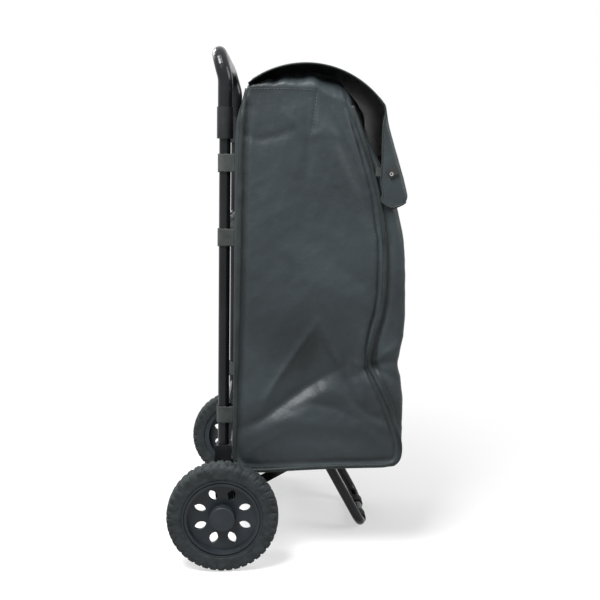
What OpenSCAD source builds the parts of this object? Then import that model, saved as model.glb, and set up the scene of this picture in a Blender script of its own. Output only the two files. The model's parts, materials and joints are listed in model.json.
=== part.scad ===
// Two-wheeled shopping trolley: tube frame, folding foot loop and a fabric bag with a flap.
// +X is the bag side, +Y the left side, +Z up. The origin is on the ground, mid-way
// along the overall length and width.

/* [Wheels] */
// Outside radius of the tyres
wheel_r = 82.5; // [68:0.5:105]
// Width of a tyre
tyre_w = 30; // [24:1:40]
// Radius at which a tyre sits on its rim
rim_r = 59.4; // [52:0.1:60]
// Radius of the raised hub
hub_r = 18.5; // [15:0.5:20]
// Radius of the axle
axle_r = 5; // [4:0.5:7]
// Number of openings in a wheel's web
web_holes = 8; // [5:1:10]
// Distance from the wheel's centre to the middle of a web opening
web_hole_at = 35.5; // [32:0.5:38]
// Length of a web opening along the wheel's radius
web_hole_l = 18; // [12:0.5:20]
// Radius of the two arcs that bound a web opening
web_hole_arc = 9.8; // [9.5:0.1:14]

/* [Frame] */
// Outside radius of the upright tubes
tube_r = 8.25; // [6.5:0.25:10]
// Wall of all steel tubes
tube_wall = 1.2; // [0.8:0.1:1.6]
// Forward lean of the uprights in degrees
lean = 1.2; // [0:0.1:4]
// Distance of the uprights' line behind the axle at ground level
upright_back = 4.5; // [0:0.5:10]
// How far the uprights stand in from the bag's sides
upright_inset = 27; // [20:1:40]
// Height of the bag's floor above the ground
seat_z = 146; // [130:1:180]
// Radius of the base tubes
base_r = 7; // [5:0.5:8]
// Radius of the cross tubes
cross_r = 6; // [4.5:0.5:7]
// Distance from the axle to the foot's pivot, along the bag
pivot_x = 151; // [110:1:170]

/* [Handle] */
// Outside radius of the handle tube
handle_r = 10.5; // [9.5:0.25:12]
// Outside radius of the ferrules that join handle and uprights
ferrule_r = 11.7; // [11:0.1:13]
// Length of a ferrule
ferrule_l = 44; // [30:1:60]
// How far below the bag's top the ferrules end
ferrule_drop = 28; // [10:1:60]
// Straight length of the handle's legs above the ferrules
handle_leg = 34; // [20:1:120]
// Backward tilt of the grip in degrees
grip_tilt = 16; // [5:1:30]
// Bend radius of the grip's corners
grip_bend = 30; // [20:1:45]

/* [Foot] */
// Radius of the foot loop's tube
foot_r = 7.5; // [5:0.5:9]
// Half the distance between the foot loop's legs
foot_half = 62; // [50:1:75]
// Forward lean of the foot's legs in degrees
foot_lean = 28; // [20:0.5:35]
// Bend radius of the loop's corners
foot_bend = 22; // [16:1:28]

/* [Bag] */
// Width of the bag
bag_w = 330; // [260:1:420]
// Height of the bag from its floor to its rear hem
bag_h = 556; // [440:1:700]
// Depth of the bag at its floor
bag_d = 258; // [230:1:320]
// Depth of the bag at its mouth
mouth_d = 164; // [140:1:190]
// Thickness of the fabric walls with their lining
wall = 3; // [2:0.5:4]
// Height of the gathered collar above the bag's rim
collar_h = 22; // [12:1:24]
// Width of the fabric straps
strap_w = 26; // [15:1:30]
// Thickness of the strap webbing
strap_t = 1.6; // [1:0.1:2.5]

/* [Flap] */
// Thickness of the flap
flap_t = 2; // [1:0.5:3]
// Radius of the flap's arch over the collar
flap_arch = 134; // [130:1:150]
// How far the flap hangs down in front
flap_drop = 136; // [90:1:180]
// How far the flap's low edge stands out in front of its corner
flap_out = 36; // [20:1:45]

/* [Hidden] */
$fn = 48;

// Clearances
run_gap = 0.08;
seat_gap = 0.1;
soft_gap = 0.4;
side_gap = 0.5;

// Wheels and axle, across the trolley
bag_half = bag_w / 2;
wheel_gap = 5.5;
wheel_y = bag_half + wheel_gap + tyre_w / 2;
hub_in = tyre_w / 2 + 2;
hub_out = tyre_w / 2 - 3;
cap_t = 3;
cap_recess_r = 12;
cap_recess_d = 5;
retainer_t = 1.5;
axle_half = wheel_y + hub_out - 1.5;
tyre_round = 6;

// Frame heights and places
axle_z = wheel_r;
upright_y = bag_half - upright_inset;
bracket_half = 11;
boss_r = 14;
bracket_in = upright_y - bracket_half;
bracket_out = upright_y + bracket_half;
bracket_top = axle_z + 95;
socket_z = axle_z + 26;
bolt_z = seat_z + 4;
bolt_r = 3;
head_r = 5;
head_t = 2.5;
bag_top = seat_z + bag_h;
ferrule_top = bag_top - ferrule_drop;
rail_z = seat_z - base_r;
stay_t = 3;
stay_w = 14;
rail_y = bracket_in - stay_t - base_r;
rear_bar_x = 8;
rail_bend = 35;
rail_front_x = 240;
pivot_z = rail_z - 4;
stay_x = 101;
crossbar_z = [seat_z + 54, seat_z + 364];

// Handle
handle_wall = 1.6;
grip_rise = 2;
handle_sides = 24;
leg_steps = 4;
grip_up = [-sin(grip_tilt), 0, cos(grip_tilt)];
back_bend = 40;
spigot_r = tube_r - tube_wall - seat_gap;
spigot_l = 30;
plug_l = 22;
bend_z = ferrule_top + handle_leg;

// Foot loop
sleeve_r = cross_r + run_gap;
sleeve_wall = 2.6;
sleeve_l = 24;
pad_wall = 2;
pad_l = 20;
foot_straight = foot_half - foot_bend;
pad_y = foot_straight - pad_l / 2 - 1;
foot_z = foot_r + pad_wall;
foot_l = (pivot_z - foot_z) / cos(foot_lean);

// Bag outline in side view; x is measured from the axle
bag_gap = 5.5;
bag_off = tube_r + bag_gap;
floor_chamfer = 12;
back_slope_l = 47;
back_slope_d = 19;
mouth_slope = 0.171;
front_low = 346;
front_mid = [25, 70];
function back_x(z) = z * tan(lean) - upright_back + bag_off / cos(lean);
rear_top_x = back_x(bag_top - back_slope_l) + back_slope_d;
front_x = back_x(seat_z) + bag_d;
mouth_x = back_x(bag_top) + mouth_d;
mouth_z = bag_top - (mouth_x - rear_top_x) * mouth_slope;
front_bow_z = seat_z + min(front_low, bag_h - 190);
function rim_z(x) = bag_top - (x - rear_top_x) * mouth_slope;
back_line = [[back_x(seat_z), seat_z], [back_x(bag_top - back_slope_l), bag_top - back_slope_l],
    [rear_top_x, bag_top]];
front_line = [[front_x, seat_z], [front_x, front_bow_z],
    [front_x - front_mid.x, front_bow_z + front_mid.y], [mouth_x, mouth_z]];

// Heights of the straps' middles
strap_z = [seat_z + 79, bag_top - 212, bag_top - 106];

// Collar and flap
collar_foot = mouth_x - rear_top_x;
collar_tilt = atan(mouth_slope);
collar_front = 30;
collar_back = 35;
collar_side = 60;
flap_half = bag_half + 3.5;
hinge_x = rear_top_x + 0.6;
hinge_z = bag_top + 3.1;
corner_x = mouth_x + 44;
corner_z = mouth_z - 1.5;

// Centre of the circle of radius flap_arch through the flap's hinge and its front corner
chord = [corner_x - hinge_x, corner_z - hinge_z];
chord_l = norm(chord);
arch_rise = sqrt(pow(flap_arch, 2) - pow(chord_l / 2, 2));
arch_c = [hinge_x + chord.x / 2 + arch_rise * chord.y / chord_l,
    hinge_z + chord.y / 2 - arch_rise * chord.x / chord_l];
arch_start = atan2(corner_z - arch_c.y, corner_x - arch_c.x);
arch_end = atan2(hinge_z - arch_c.y, hinge_x - arch_c.x);

// Closure
clip_l = 15;
clip_h = 11;
clip_t = 2.5;
clip_tilt = 27;
clip_drop = 92;
clip_x = corner_x + 13;
clip_z = corner_z - clip_drop;
eyelet_r = 2.6;
tab_t = 1.1;
tab_l = 30;
tab_h = 12;

// The origin lies mid-way between the tyres' backs and the bag's front
mid_x = (front_x - wheel_r) / 2;

// ---- Helpers ----
module placed() {
    translate([-mid_x, 0, 0]) children();
}

module on_side(side) {
    if (side > 0) children();
    else mirror([0, 1, 0]) children();
}

module leaned() {
    translate([-upright_back, 0, 0]) rotate([0, lean, 0]) children();
}

module ring(r, w) {
    difference() {
        circle(r);
        circle(r - w);
    }
}

module tube(r, l, w = tube_wall) {
    linear_extrude(l) ring(r, w);
}

// Tube elbow that starts at the origin along +Z and bends towards -X
module elbow(r, bend_r, a, w = tube_wall) {
    translate([-bend_r, 0, 0]) rotate([90, 0, 0])
        rotate_extrude(angle = a) translate([bend_r, 0]) ring(r, w);
}

// Bar of length 2 * half along Y
module across(r, half) {
    rotate([90, 0, 0]) translate([0, 0, -half]) cylinder(r = r, h = 2 * half);
}

module cross_tube(r, half) {
    difference() {
        across(r, half);
        across(r - tube_wall, half + 1);
    }
}

// Profile in the X-Z plane, pushed out along Y from y0 to y1
module slab(y0, y1) {
    translate([0, y1, 0]) rotate([90, 0, 0]) linear_extrude(y1 - y0) children();
}

// Disc or ring about the wheel's axis between y0 and y1
module round_y(r, y0, y1) {
    translate([0, y1, axle_z]) rotate([90, 0, 0]) cylinder(r = r, h = y1 - y0);
}

// ---- Frame ----
module upright(side) {
    color("#17191b") placed() on_side(side) difference() {
        leaned() translate([0, upright_y, socket_z]) tube(tube_r, ferrule_top - socket_z);
        bolt_hole();
    }
}

module bolt_hole() {
    translate([bolt_z * tan(lean) - upright_back, upright_y, bolt_z])
        across(bolt_r + seat_gap, bracket_half + 5);
}

module ferrule(side) {
    color("#1d1f21") placed() on_side(side) leaned()
        translate([0, upright_y, ferrule_top - ferrule_l])
            tube(ferrule_r, ferrule_l, ferrule_r - tube_r - seat_gap);
}

// The handle's centre line as frames [centre, across, outward], from one leg's foot to the other's
function leg_frames(side) = [[[0, side * upright_y, ferrule_top], [1, 0, 0], [0, side, 0]],
    for (k = [0:leg_steps]) let (a = k * grip_tilt / leg_steps)
        [[back_bend * (cos(a) - 1), side * upright_y, bend_z + back_bend * sin(a)],
            [cos(a), 0, sin(a)], [0, side, 0]]];

// Corner of the grip, whose outward direction turns from b0 to b0 + 90 degrees
function corner_frames(side, b0) = [for (b = [b0:9:b0 + 90])
    [[back_bend * (cos(grip_tilt) - 1), side * (upright_y - grip_bend) + grip_bend * cos(b),
        bend_z + back_bend * sin(grip_tilt)] + (grip_rise + grip_bend * sin(b)) * grip_up,
        [cos(grip_tilt), 0, sin(grip_tilt)], [0, cos(b), 0] + sin(b) * grip_up]];

function frame_ring(f, r) = [for (i = [0:handle_sides - 1])
    f[0] + r * (cos(i * 360 / handle_sides) * f[1] + sin(i * 360 / handle_sides) * f[2])];

// Quads between ring j of one skin and ring k of the next, or between two skins' end rings
function band(j, k) = [for (i = [0:handle_sides - 1]) let (n = (i + 1) % handle_sides)
    [j + i, k + i, k + n, j + n]];

module handle() {
    frames = concat(leg_frames(1), corner_frames(1, 0), corner_frames(-1, 90),
        turned(leg_frames(-1)));
    last = len(frames) - 1;
    skin = handle_sides * len(frames);
    outer = [for (f = frames) each frame_ring(f, handle_r)];
    inner = [for (f = frames) each frame_ring(f, handle_r - handle_wall)];
    color("#141618") placed() leaned() polyhedron(concat(outer, inner), concat(
        [for (k = [0:last - 1]) each band(handle_sides * (k + 1), handle_sides * k)],
        [for (k = [0:last - 1]) each band(skin + handle_sides * k, skin + handle_sides * (k + 1))],
        band(0, skin), band(skin + handle_sides * last, handle_sides * last)));
}

// Moulded plugs that join the handle's ends to the uprights
module handle_plugs() {
    upper_r = handle_r - handle_wall - seat_gap;
    bore = spigot_r - handle_wall;
    color("#1d1f21") placed() leaned() for (side = [-1, 1])
        translate([0, side * upright_y, ferrule_top]) rotate_extrude()
            polygon([[bore, -spigot_l], [spigot_r, -spigot_l], [spigot_r, 0], [upper_r, 0],
                [upper_r, plug_l], [bore, plug_l]]);
}

module crossbar(z) {
    color("#17191b") placed() difference() {
        leaned() translate([0, 0, z]) cross_tube(cross_r, upright_y);
        leaned() for (side = [-1, 1])
            translate([0, side * upright_y, z - 30]) cylinder(r = tube_r, h = 60);
    }
}

// Side view of the moulded bracket that holds the upright, the axle and the base
module bracket_web() {
    top_x = back_x(seat_z) - soft_gap;
    low_x = rear_bar_x + base_r + 2;
    polygon([[0, axle_z], [1 - boss_r, axle_z + 4], [-15, seat_z], [-11.5, bracket_top],
        [top_x - 1, bracket_top], [top_x, seat_z], [low_x, seat_z - 2],
        [low_x, seat_z - 16], [boss_r - 1, axle_z + 4]]);
}

module bracket(side) {
    color("#1a1d1f") placed() on_side(side) difference() {
        union() {
            slab(bracket_in, bracket_out) bracket_web();
            round_y(boss_r, bracket_in, bracket_out);
        }
        leaned() translate([0, upright_y, socket_z])
            cylinder(r = tube_r + seat_gap, h = bracket_top);
        round_y(axle_r + seat_gap, bracket_in - 1, bracket_out + 1);
        bolt_hole();
    }
}

module bracket_bolts() {
    color("#2a2c2e") placed() for (side = [-1, 1]) on_side(side)
        translate([bolt_z * tan(lean) - upright_back, upright_y, bolt_z]) {
            across(bolt_r, bracket_half);
            for (end = [-1, 1])
                translate([0, end * (bracket_half + head_t / 2), 0]) across(head_r, head_t / 2);
        }
}

module axle() {
    color("silver") placed() translate([0, 0, axle_z]) across(axle_r, axle_half);
}

module axle_spacers() {
    color("#222426") placed() for (side = [-1, 1]) on_side(side) difference() {
        round_y(axle_r + 3, bracket_out, wheel_y - hub_in - side_gap);
        round_y(axle_r + seat_gap, bracket_out - 1, wheel_y);
    }
}

module axle_retainers() {
    color("silver") placed() for (side = [-1, 1]) on_side(side) difference() {
        round_y(axle_r + 4, axle_half - 1 - retainer_t, axle_half - 1);
        round_y(axle_r, axle_half - 10, axle_half + 10);
    }
}

module rear_bar_cut() {
    translate([rear_bar_x, 0, rail_z]) across(base_r, bag_half);
}

module rivet_hole() {
    translate([stay_x, rail_y + base_r, rail_z]) across(bolt_r + seat_gap, 2 * base_r + 5);
}

// U-shaped tube that the bag stands on
module base_rail_loop() {
    straight = rail_front_x - rail_bend - rear_bar_x;
    color("#17191b") placed() difference() {
        union() {
            for (side = [-1, 1]) on_side(side) {
                translate([rear_bar_x, rail_y, rail_z]) rotate([0, 90, 0]) tube(base_r, straight);
                translate([rail_front_x - rail_bend, rail_y - rail_bend, rail_z])
                    rotate_extrude(angle = 90) translate([rail_bend, 0]) ring(base_r, tube_wall);
            }
            translate([rail_front_x, 0, rail_z]) cross_tube(base_r, rail_y - rail_bend);
        }
        rear_bar_cut();
        for (side = [-1, 1]) on_side(side) rivet_hole();
    }
}

module base_rear_bar() {
    color("#17191b") placed() translate([rear_bar_x, 0, rail_z]) cross_tube(base_r, bracket_in);
}

module base_crossbar() {
    color("#17191b") placed() difference() {
        translate([pivot_x, 0, pivot_z]) cross_tube(cross_r, rail_y);
        for (side = [-1, 1]) translate([rear_bar_x, side * rail_y, rail_z])
            rotate([0, 90, 0]) cylinder(r = base_r, h = rail_front_x);
    }
}

// Flat bar from the axle to the base rail
module stay(side) {
    stay_run = [stay_x, rail_z - axle_z];
    color("#1b1d1f") placed() on_side(side) difference() {
        slab(bracket_in - stay_t, bracket_in) {
            translate([0, axle_z]) circle(r = stay_w / 2 + 2);
            translate([stay_x, rail_z]) circle(r = stay_w / 2);
            translate([0, axle_z]) rotate(atan2(stay_run.y, stay_run.x))
                translate([0, -stay_w / 2]) square([norm(stay_run), stay_w]);
        }
        round_y(axle_r + seat_gap, bracket_in - 10, bracket_in + 10);
        rivet_hole();
    }
}

module stay_rivets() {
    rivet_out = bracket_in + head_t;
    rivet_in = rail_y - base_r - head_t;
    color("#2a2c2e") placed() for (side = [-1, 1]) on_side(side)
        translate([stay_x, 0, rail_z - axle_z]) {
            round_y(bolt_r, rivet_in, rivet_out);
            round_y(head_r, bracket_in, rivet_out);
            round_y(head_r, rivet_in, rivet_in + head_t);
        }
}

// ---- Foot ----
module at_pivot() {
    translate([pivot_x, 0, pivot_z]) children();
}

// Turned so that -Z runs down the foot's legs
module along_foot() {
    rotate([0, -foot_lean, 0]) children();
}

module foot_loop() {
    leg_l = foot_l - foot_bend;
    color("#17191b") placed() at_pivot() difference() {
        along_foot() {
            for (side = [-1, 1]) on_side(side) {
                translate([0, foot_half, -leg_l]) tube(foot_r, leg_l);
                translate([0, foot_half, -leg_l]) rotate([180, 0, 0])
                    rotate([0, 0, -90]) elbow(foot_r, foot_bend, 90);
            }
            translate([0, 0, -foot_l]) cross_tube(foot_r, foot_straight);
        }
        across(sleeve_r + sleeve_wall, bag_half);
    }
}

module foot_sleeve(side) {
    color("#1d1f21") placed() on_side(side) at_pivot() translate([0, foot_half, 0]) difference() {
        across(sleeve_r + sleeve_wall, sleeve_l / 2);
        across(sleeve_r, sleeve_l);
    }
}

module foot_pad(side) {
    color("#101112") placed() on_side(side) at_pivot() along_foot()
        translate([0, pad_y, -foot_l]) difference() {
            across(foot_r + pad_wall, pad_l / 2);
            across(foot_r, pad_l);
        }
}

// ---- Wheels, made about the wheel's middle plane and pushed out to wheel_y ----
module at_wheel(side) {
    placed() on_side(side) translate([0, wheel_y, axle_z]) rotate([-90, 0, 0]) children();
}

module tyre(side) {
    r = wheel_r;
    h = tyre_w / 2;
    c = tyre_round;
    color("#363b3d") at_wheel(side) rotate_extrude($fn = 96) difference() {
        translate([rim_r, -h]) square([r - rim_r, 2 * h]);
        for (end = [-1, 1]) translate([r, end * h]) rotate(45)
            square(c * sqrt(2), center = true);
        for (end = [-1, 1]) translate([rim_r, end * h]) rotate(45)
            square(2, center = true);
    }
}

module rim_profile() {
    bore = axle_r + run_gap;
    ring_in = rim_r - 8;
    h = tyre_w / 2;
    difference() {
        union() {
            translate([bore, -hub_in]) square([hub_r - bore, hub_in + hub_out]);
            translate([ring_in, -h + 2]) square([rim_r - ring_in, 2 * h - 3]);
            polygon([[hub_r - 1, -4], [hub_r - 1, 1], [ring_in + 1, 5], [ring_in + 1, 0]]);
        }
        translate([bore - 1, hub_out - cap_recess_d]) square([cap_recess_r - bore + 1, 20]);
        translate([rim_r - 4.5, h - 3]) square([2, 5]);
    }
}

// Almond outline: where two circles of radius web_hole_arc overlap
module web_hole() {
    half = web_hole_l / 2;
    off = sqrt(max(0.01, pow(max(web_hole_arc, half + 0.3), 2) - half * half));
    arc = max(web_hole_arc, half + 0.3);
    intersection() {
        translate([web_hole_at, off]) circle(arc);
        translate([web_hole_at, -off]) circle(arc);
    }
}

module rim(side) {
    color("#22282c") at_wheel(side) difference() {
        rotate_extrude($fn = 96) rim_profile();
        for (i = [0:web_holes - 1]) rotate([0, 0, (i + 0.5) * 360 / web_holes])
            translate([0, 0, -tyre_w]) linear_extrude(2 * tyre_w) web_hole();
    }
}

module hub_cap(side) {
    color("#252b2f") at_wheel(side) rotate_extrude($fn = 96) {
        polygon([[0, hub_out], [hub_r, hub_out], [hub_r, hub_out + cap_t - 1],
            [hub_r - 1.5, hub_out + cap_t], [0, hub_out + cap_t]]);
        translate([cap_recess_r - 2, hub_out - 2]) square([2 - run_gap, 2.5]);
    }
}

// ---- Bag ----
function shift_x(line, d) = [for (p = line) [p.x + d, p.y]];
function turned(line) = [for (i = [len(line) - 1:-1:0]) line[i]];
function chamfered(line, d) = concat([[line[0].x + d, line[0].y], [line[0].x, line[0].y]
    + (line[1] - line[0]) * abs(d / norm(line[1] - line[0]))],
    [for (i = [1:len(line) - 1]) line[i]]);

module bag_side(side) {
    outline = concat(chamfered(back_line, floor_chamfer), turned(chamfered(front_line, -floor_chamfer)));
    color("#33383a") placed() on_side(side) slab(bag_half - wall, bag_half) polygon(outline);
}

// Wall that follows a side-view line and is wall thick towards d
module bag_wall(line, d) {
    first = chamfered(line, sign(d) * floor_chamfer);
    inner = shift_x([for (i = [1:len(first) - 1]) first[i]], d);
    rim_in = [last_of(inner).x, rim_z(last_of(inner).x)];
    kept = [for (i = [0:len(inner) - 2]) inner[i]];
    color("#303537") placed() slab(wall - bag_half, bag_half - wall) difference() {
        polygon(concat(first, [rim_in], turned(kept)));
        translate([line[0].x - 50, seat_z - 1]) square([100, wall + 1]);
    }
}

function last_of(line) = line[len(line) - 1];

module bag_floor() {
    x0 = back_line[0].x;
    color("#2b3032") placed() slab(wall - bag_half, bag_half - wall)
        intersection() {
            translate([x0, seat_z]) square([bag_d, wall]);
            polygon(concat(chamfered(back_line, floor_chamfer),
                turned(chamfered(front_line, -floor_chamfer))));
        }
}

// Frustum block of the collar, shrunk by w on every side
module collar_block(w, low, high) {
    hull() {
        translate([w, w - bag_half, low]) cube([collar_foot - 2 * w, 2 * (bag_half - w), 0.01]);
        translate([collar_back + w, w + collar_side - bag_half, high - 0.01])
            cube([collar_foot - collar_back - collar_front - 2 * w,
                2 * (bag_half - collar_side - w), 0.01]);
    }
}

module bag_collar() {
    color("#2c3133") placed() translate([rear_top_x, 0, bag_top + 0.02]) rotate([0, collar_tilt, 0])
        scale([1 / cos(collar_tilt), 1, 1]) difference() {
            collar_block(0, 0, collar_h);
            translate([0, 0, -0.01]) collar_block(wall, 0, collar_h);
            translate([collar_back + wall, wall + collar_side - bag_half, -1])
                cube([collar_foot - collar_back - collar_front - 2 * wall,
                    2 * (bag_half - collar_side - wall), collar_h + 5]);
        }
}

// Loop of webbing round an upright, sewn to the back of the bag
module strap(side, z, w = strap_w) {
    inner = tube_r + 0.2;
    outer = inner + strap_t;
    reach = bag_off - 0.02;
    color("#4d5452") placed() on_side(side) leaned() translate([0, upright_y, z - w / 2])
        linear_extrude(w) difference() {
            union() {
                circle(outer);
                translate([0, -outer]) square([reach, 2 * outer]);
            }
            circle(inner);
            translate([0, -inner]) square([reach + 1, 2 * inner]);
        }
}

// ---- Flap ----
module flap_top() {
    color("#3a4042") placed() translate([arch_c.x, flap_half, arch_c.y]) rotate([90, 0, 0])
        rotate([0, 0, arch_start]) rotate_extrude(angle = arch_end - arch_start, $fn = 180)
            translate([flap_arch - flap_t, 0]) square([flap_t, 2 * flap_half]);
}

flap_low = [corner_x + flap_out, corner_z - flap_drop + 12];
wing_low = [corner_x + flap_out * 0.45, corner_z - flap_drop];

module flap_front() {
    top = [corner_x + 1, corner_z - flap_t];
    knee = [corner_x + 9, corner_z - 34];
    color("#3a4042") placed() {
        slab(-flap_half, flap_half) polygon([top, knee, flap_low, [flap_low.x - 3, flap_low.y - 9],
            [flap_low.x - 3 - flap_t, flap_low.y - 9], [flap_low.x - flap_t * 1.1, flap_low.y],
            [knee.x - flap_t, knee.y], [top.x - flap_t, top.y]]);
        for (side = [-1, 1]) on_side(side) slab(flap_half - flap_t, flap_half)
            polygon([[top.x - 1, top.y - 7], [knee.x - 1, knee.y], [flap_low.x - 1, flap_low.y],
                [flap_low.x - 4, flap_low.y - 9], wing_low, [corner_x - 2, corner_z - flap_drop + 30],
                [corner_x - 3, knee.y]]);
    }
}

module closure_clip(side) {
    color("#1a1c1d") placed() on_side(side) slab(flap_half, flap_half + clip_t)
        translate([clip_x, clip_z]) rotate(clip_tilt - 90) square([clip_h, clip_l], center = true);
}

module closure_eyelets() {
    color("#8d9290") placed() for (side = [-1, 1]) on_side(side)
        slab(flap_half + clip_t, flap_half + clip_t + 0.8) translate([clip_x, clip_z])
            rotate(clip_tilt - 90) translate([1.5, -3.6]) ring(eyelet_r, 1.2);
}

module closure_tab(side) {
    color("#2c3133") placed() on_side(side) slab(bag_half, bag_half + tab_t)
        translate([clip_x + 6 - tab_l, clip_z - tab_h / 2]) square([tab_l, tab_h]);
}

upright(1);  // upright_left
upright(-1);  // upright_right
handle();
handle_plugs();
ferrule(1);  // ferrule_left
ferrule(-1);  // ferrule_right
crossbar(crossbar_z[1]);  // crossbar_upper
crossbar(crossbar_z[0]);  // crossbar_lower
bracket(1);  // bracket_left
bracket(-1);  // bracket_right
bracket_bolts();
axle();
axle_spacers();
axle_retainers();
base_rail_loop();
base_rear_bar();
base_crossbar();
stay(1);  // stay_left
stay(-1);  // stay_right
stay_rivets();
foot_loop();
foot_sleeve(1);  // foot_sleeve_left
foot_sleeve(-1);  // foot_sleeve_right
foot_pad(1);  // foot_pad_left
foot_pad(-1);  // foot_pad_right
rim(1);  // rim_left
rim(-1);  // rim_right
tyre(1);  // tyre_left
tyre(-1);  // tyre_right
hub_cap(1);  // hub_cap_left
hub_cap(-1);  // hub_cap_right
bag_side(1);  // bag_side_left
bag_side(-1);  // bag_side_right
bag_wall(front_line, -wall);  // bag_front
bag_wall(back_line, wall);  // bag_back
bag_floor();
bag_collar();
strap(1, strap_z[2]);  // strap_upper_left
strap(-1, strap_z[2]);  // strap_upper_right
strap(1, strap_z[1]);  // strap_middle_left
strap(-1, strap_z[1]);  // strap_middle_right
strap(1, strap_z[0]);  // strap_lower_left
strap(-1, strap_z[0]);  // strap_lower_right
flap_top();
flap_front();
closure_tab(1);  // closure_tab_left
closure_tab(-1);  // closure_tab_right
closure_clip(1);  // closure_clip_left
closure_clip(-1);  // closure_clip_right
closure_eyelets();
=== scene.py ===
# %% [markdown]
# # A two-wheeled shopping trolley
# The frame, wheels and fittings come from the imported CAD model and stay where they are.
# This file gives them their finishes, and builds the soft parts anew: the nylon bag, its
# bound seams, the flap and the webbing. Cloth is made here because its look lies in folds
# and seams, which a surface worked out with numpy shows far better than a plain solid.

# %% Load the frame
import json
import math

import bpy
import numpy as np
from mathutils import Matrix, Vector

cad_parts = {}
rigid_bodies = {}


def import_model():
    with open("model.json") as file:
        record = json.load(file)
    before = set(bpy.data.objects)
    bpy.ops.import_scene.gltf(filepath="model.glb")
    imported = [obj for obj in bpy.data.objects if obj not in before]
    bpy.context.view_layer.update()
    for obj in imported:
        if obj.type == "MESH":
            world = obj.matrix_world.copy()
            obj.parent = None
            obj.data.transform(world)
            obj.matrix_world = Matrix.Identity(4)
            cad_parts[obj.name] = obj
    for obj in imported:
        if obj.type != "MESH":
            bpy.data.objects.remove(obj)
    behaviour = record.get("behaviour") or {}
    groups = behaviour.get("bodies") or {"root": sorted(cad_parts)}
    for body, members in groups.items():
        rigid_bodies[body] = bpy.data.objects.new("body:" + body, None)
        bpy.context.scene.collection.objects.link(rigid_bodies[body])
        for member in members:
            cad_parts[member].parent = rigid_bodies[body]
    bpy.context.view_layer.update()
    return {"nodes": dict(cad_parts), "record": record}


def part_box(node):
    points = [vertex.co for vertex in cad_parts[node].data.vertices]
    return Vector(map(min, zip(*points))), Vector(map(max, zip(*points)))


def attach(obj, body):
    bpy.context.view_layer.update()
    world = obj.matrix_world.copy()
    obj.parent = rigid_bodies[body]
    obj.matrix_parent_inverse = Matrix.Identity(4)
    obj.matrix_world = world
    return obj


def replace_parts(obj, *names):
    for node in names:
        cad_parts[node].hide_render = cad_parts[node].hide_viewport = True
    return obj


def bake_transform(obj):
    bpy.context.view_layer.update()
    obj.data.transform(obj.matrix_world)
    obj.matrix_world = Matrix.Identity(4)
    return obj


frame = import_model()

for leftover in [o for o in bpy.data.objects if o.name in ("Cube", "Camera", "Light")]:
    bpy.data.objects.remove(leftover)

# %% [markdown]
# ## Working in millimetres from the axle
# A maker of such a trolley measures from the axle and from the ground. All shapes below are
# worked out that way, in millimetres, with X towards the bag's front, Y to the left and Z up.
# One helper turns the finished points into metres in the frame.

# %% Millimetres to the frame
axle_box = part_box("axle")
AXLE_X = (axle_box[0].x + axle_box[1].x) / 2


def to_frame(points):
    """Points in millimetres from the axle, as metres in the frame: x / 1000 + the axle's x."""
    out = np.array(points, float) / 1000
    out[..., 0] += AXLE_X
    return out


def smoothstep(x, a, b):
    """0 below a, 1 above b, and 3t^2 - 2t^3 in between, with t the share of the way."""
    t = np.clip((np.asarray(x, float) - a) / (b - a), 0, 1)
    return t * t * (3 - 2 * t)


def smooth_line(knots, count):
    """A Catmull-Rom curve through the knots, as count points at equal steps of its length."""
    k = np.array(knots, float)
    k = np.vstack([2 * k[0] - k[1], k, 2 * k[-1] - k[-2]])
    t = np.linspace(0, 1, 24, endpoint=False)[:, None]
    a, b, c, d = k[:-3, None], k[1:-2, None], k[2:-1, None], k[3:, None]
    dense = 0.5 * (2 * b + (c - a) * t + (2 * a - 5 * b + 4 * c - d) * t**2 + (3 * b - a - 3 * c + d) * t**3)
    return even_steps(np.vstack([dense.reshape(-1, k.shape[1]), k[-2]]), count)


def even_steps(line, count):
    """The same line as count points at equal steps of its length."""
    step = np.linalg.norm(np.diff(line, axis=0), axis=1)
    run = np.concatenate([[0], np.cumsum(step)])
    at = np.linspace(0, run[-1], count)
    return np.stack([np.interp(at, run, line[:, i]) for i in range(line.shape[1])], 1)


print("axle at x =", round(AXLE_X, 6))

# %% [markdown]
# ## From a grid of points to a mesh
# Every new piece is a grid: rows one way, columns the other. The grid may close on itself
# either way, and a hole at its first row can be closed with a fan. Each corner of each face
# also gets a UV in metres along the cloth, so a weave keeps its true scale.

# %% Grid mesh helper
def grid_faces(rows, cols, wrap_rows, wrap_cols):
    """Corner numbers of each quad, and the same without wrapping for the UVs."""
    i, j = np.meshgrid(np.arange(rows - (not wrap_rows)), np.arange(cols - (not wrap_cols)), indexing="ij")
    i, j = i.ravel(), j.ravel()
    corners = [(i, j), (i, j + 1), (i + 1, j + 1), (i + 1, j)]
    quads = np.stack([(a % rows) * cols + b % cols for a, b in corners], 1)
    return quads, np.stack([np.stack([a, b], 1) for a, b in corners], 1)


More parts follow.
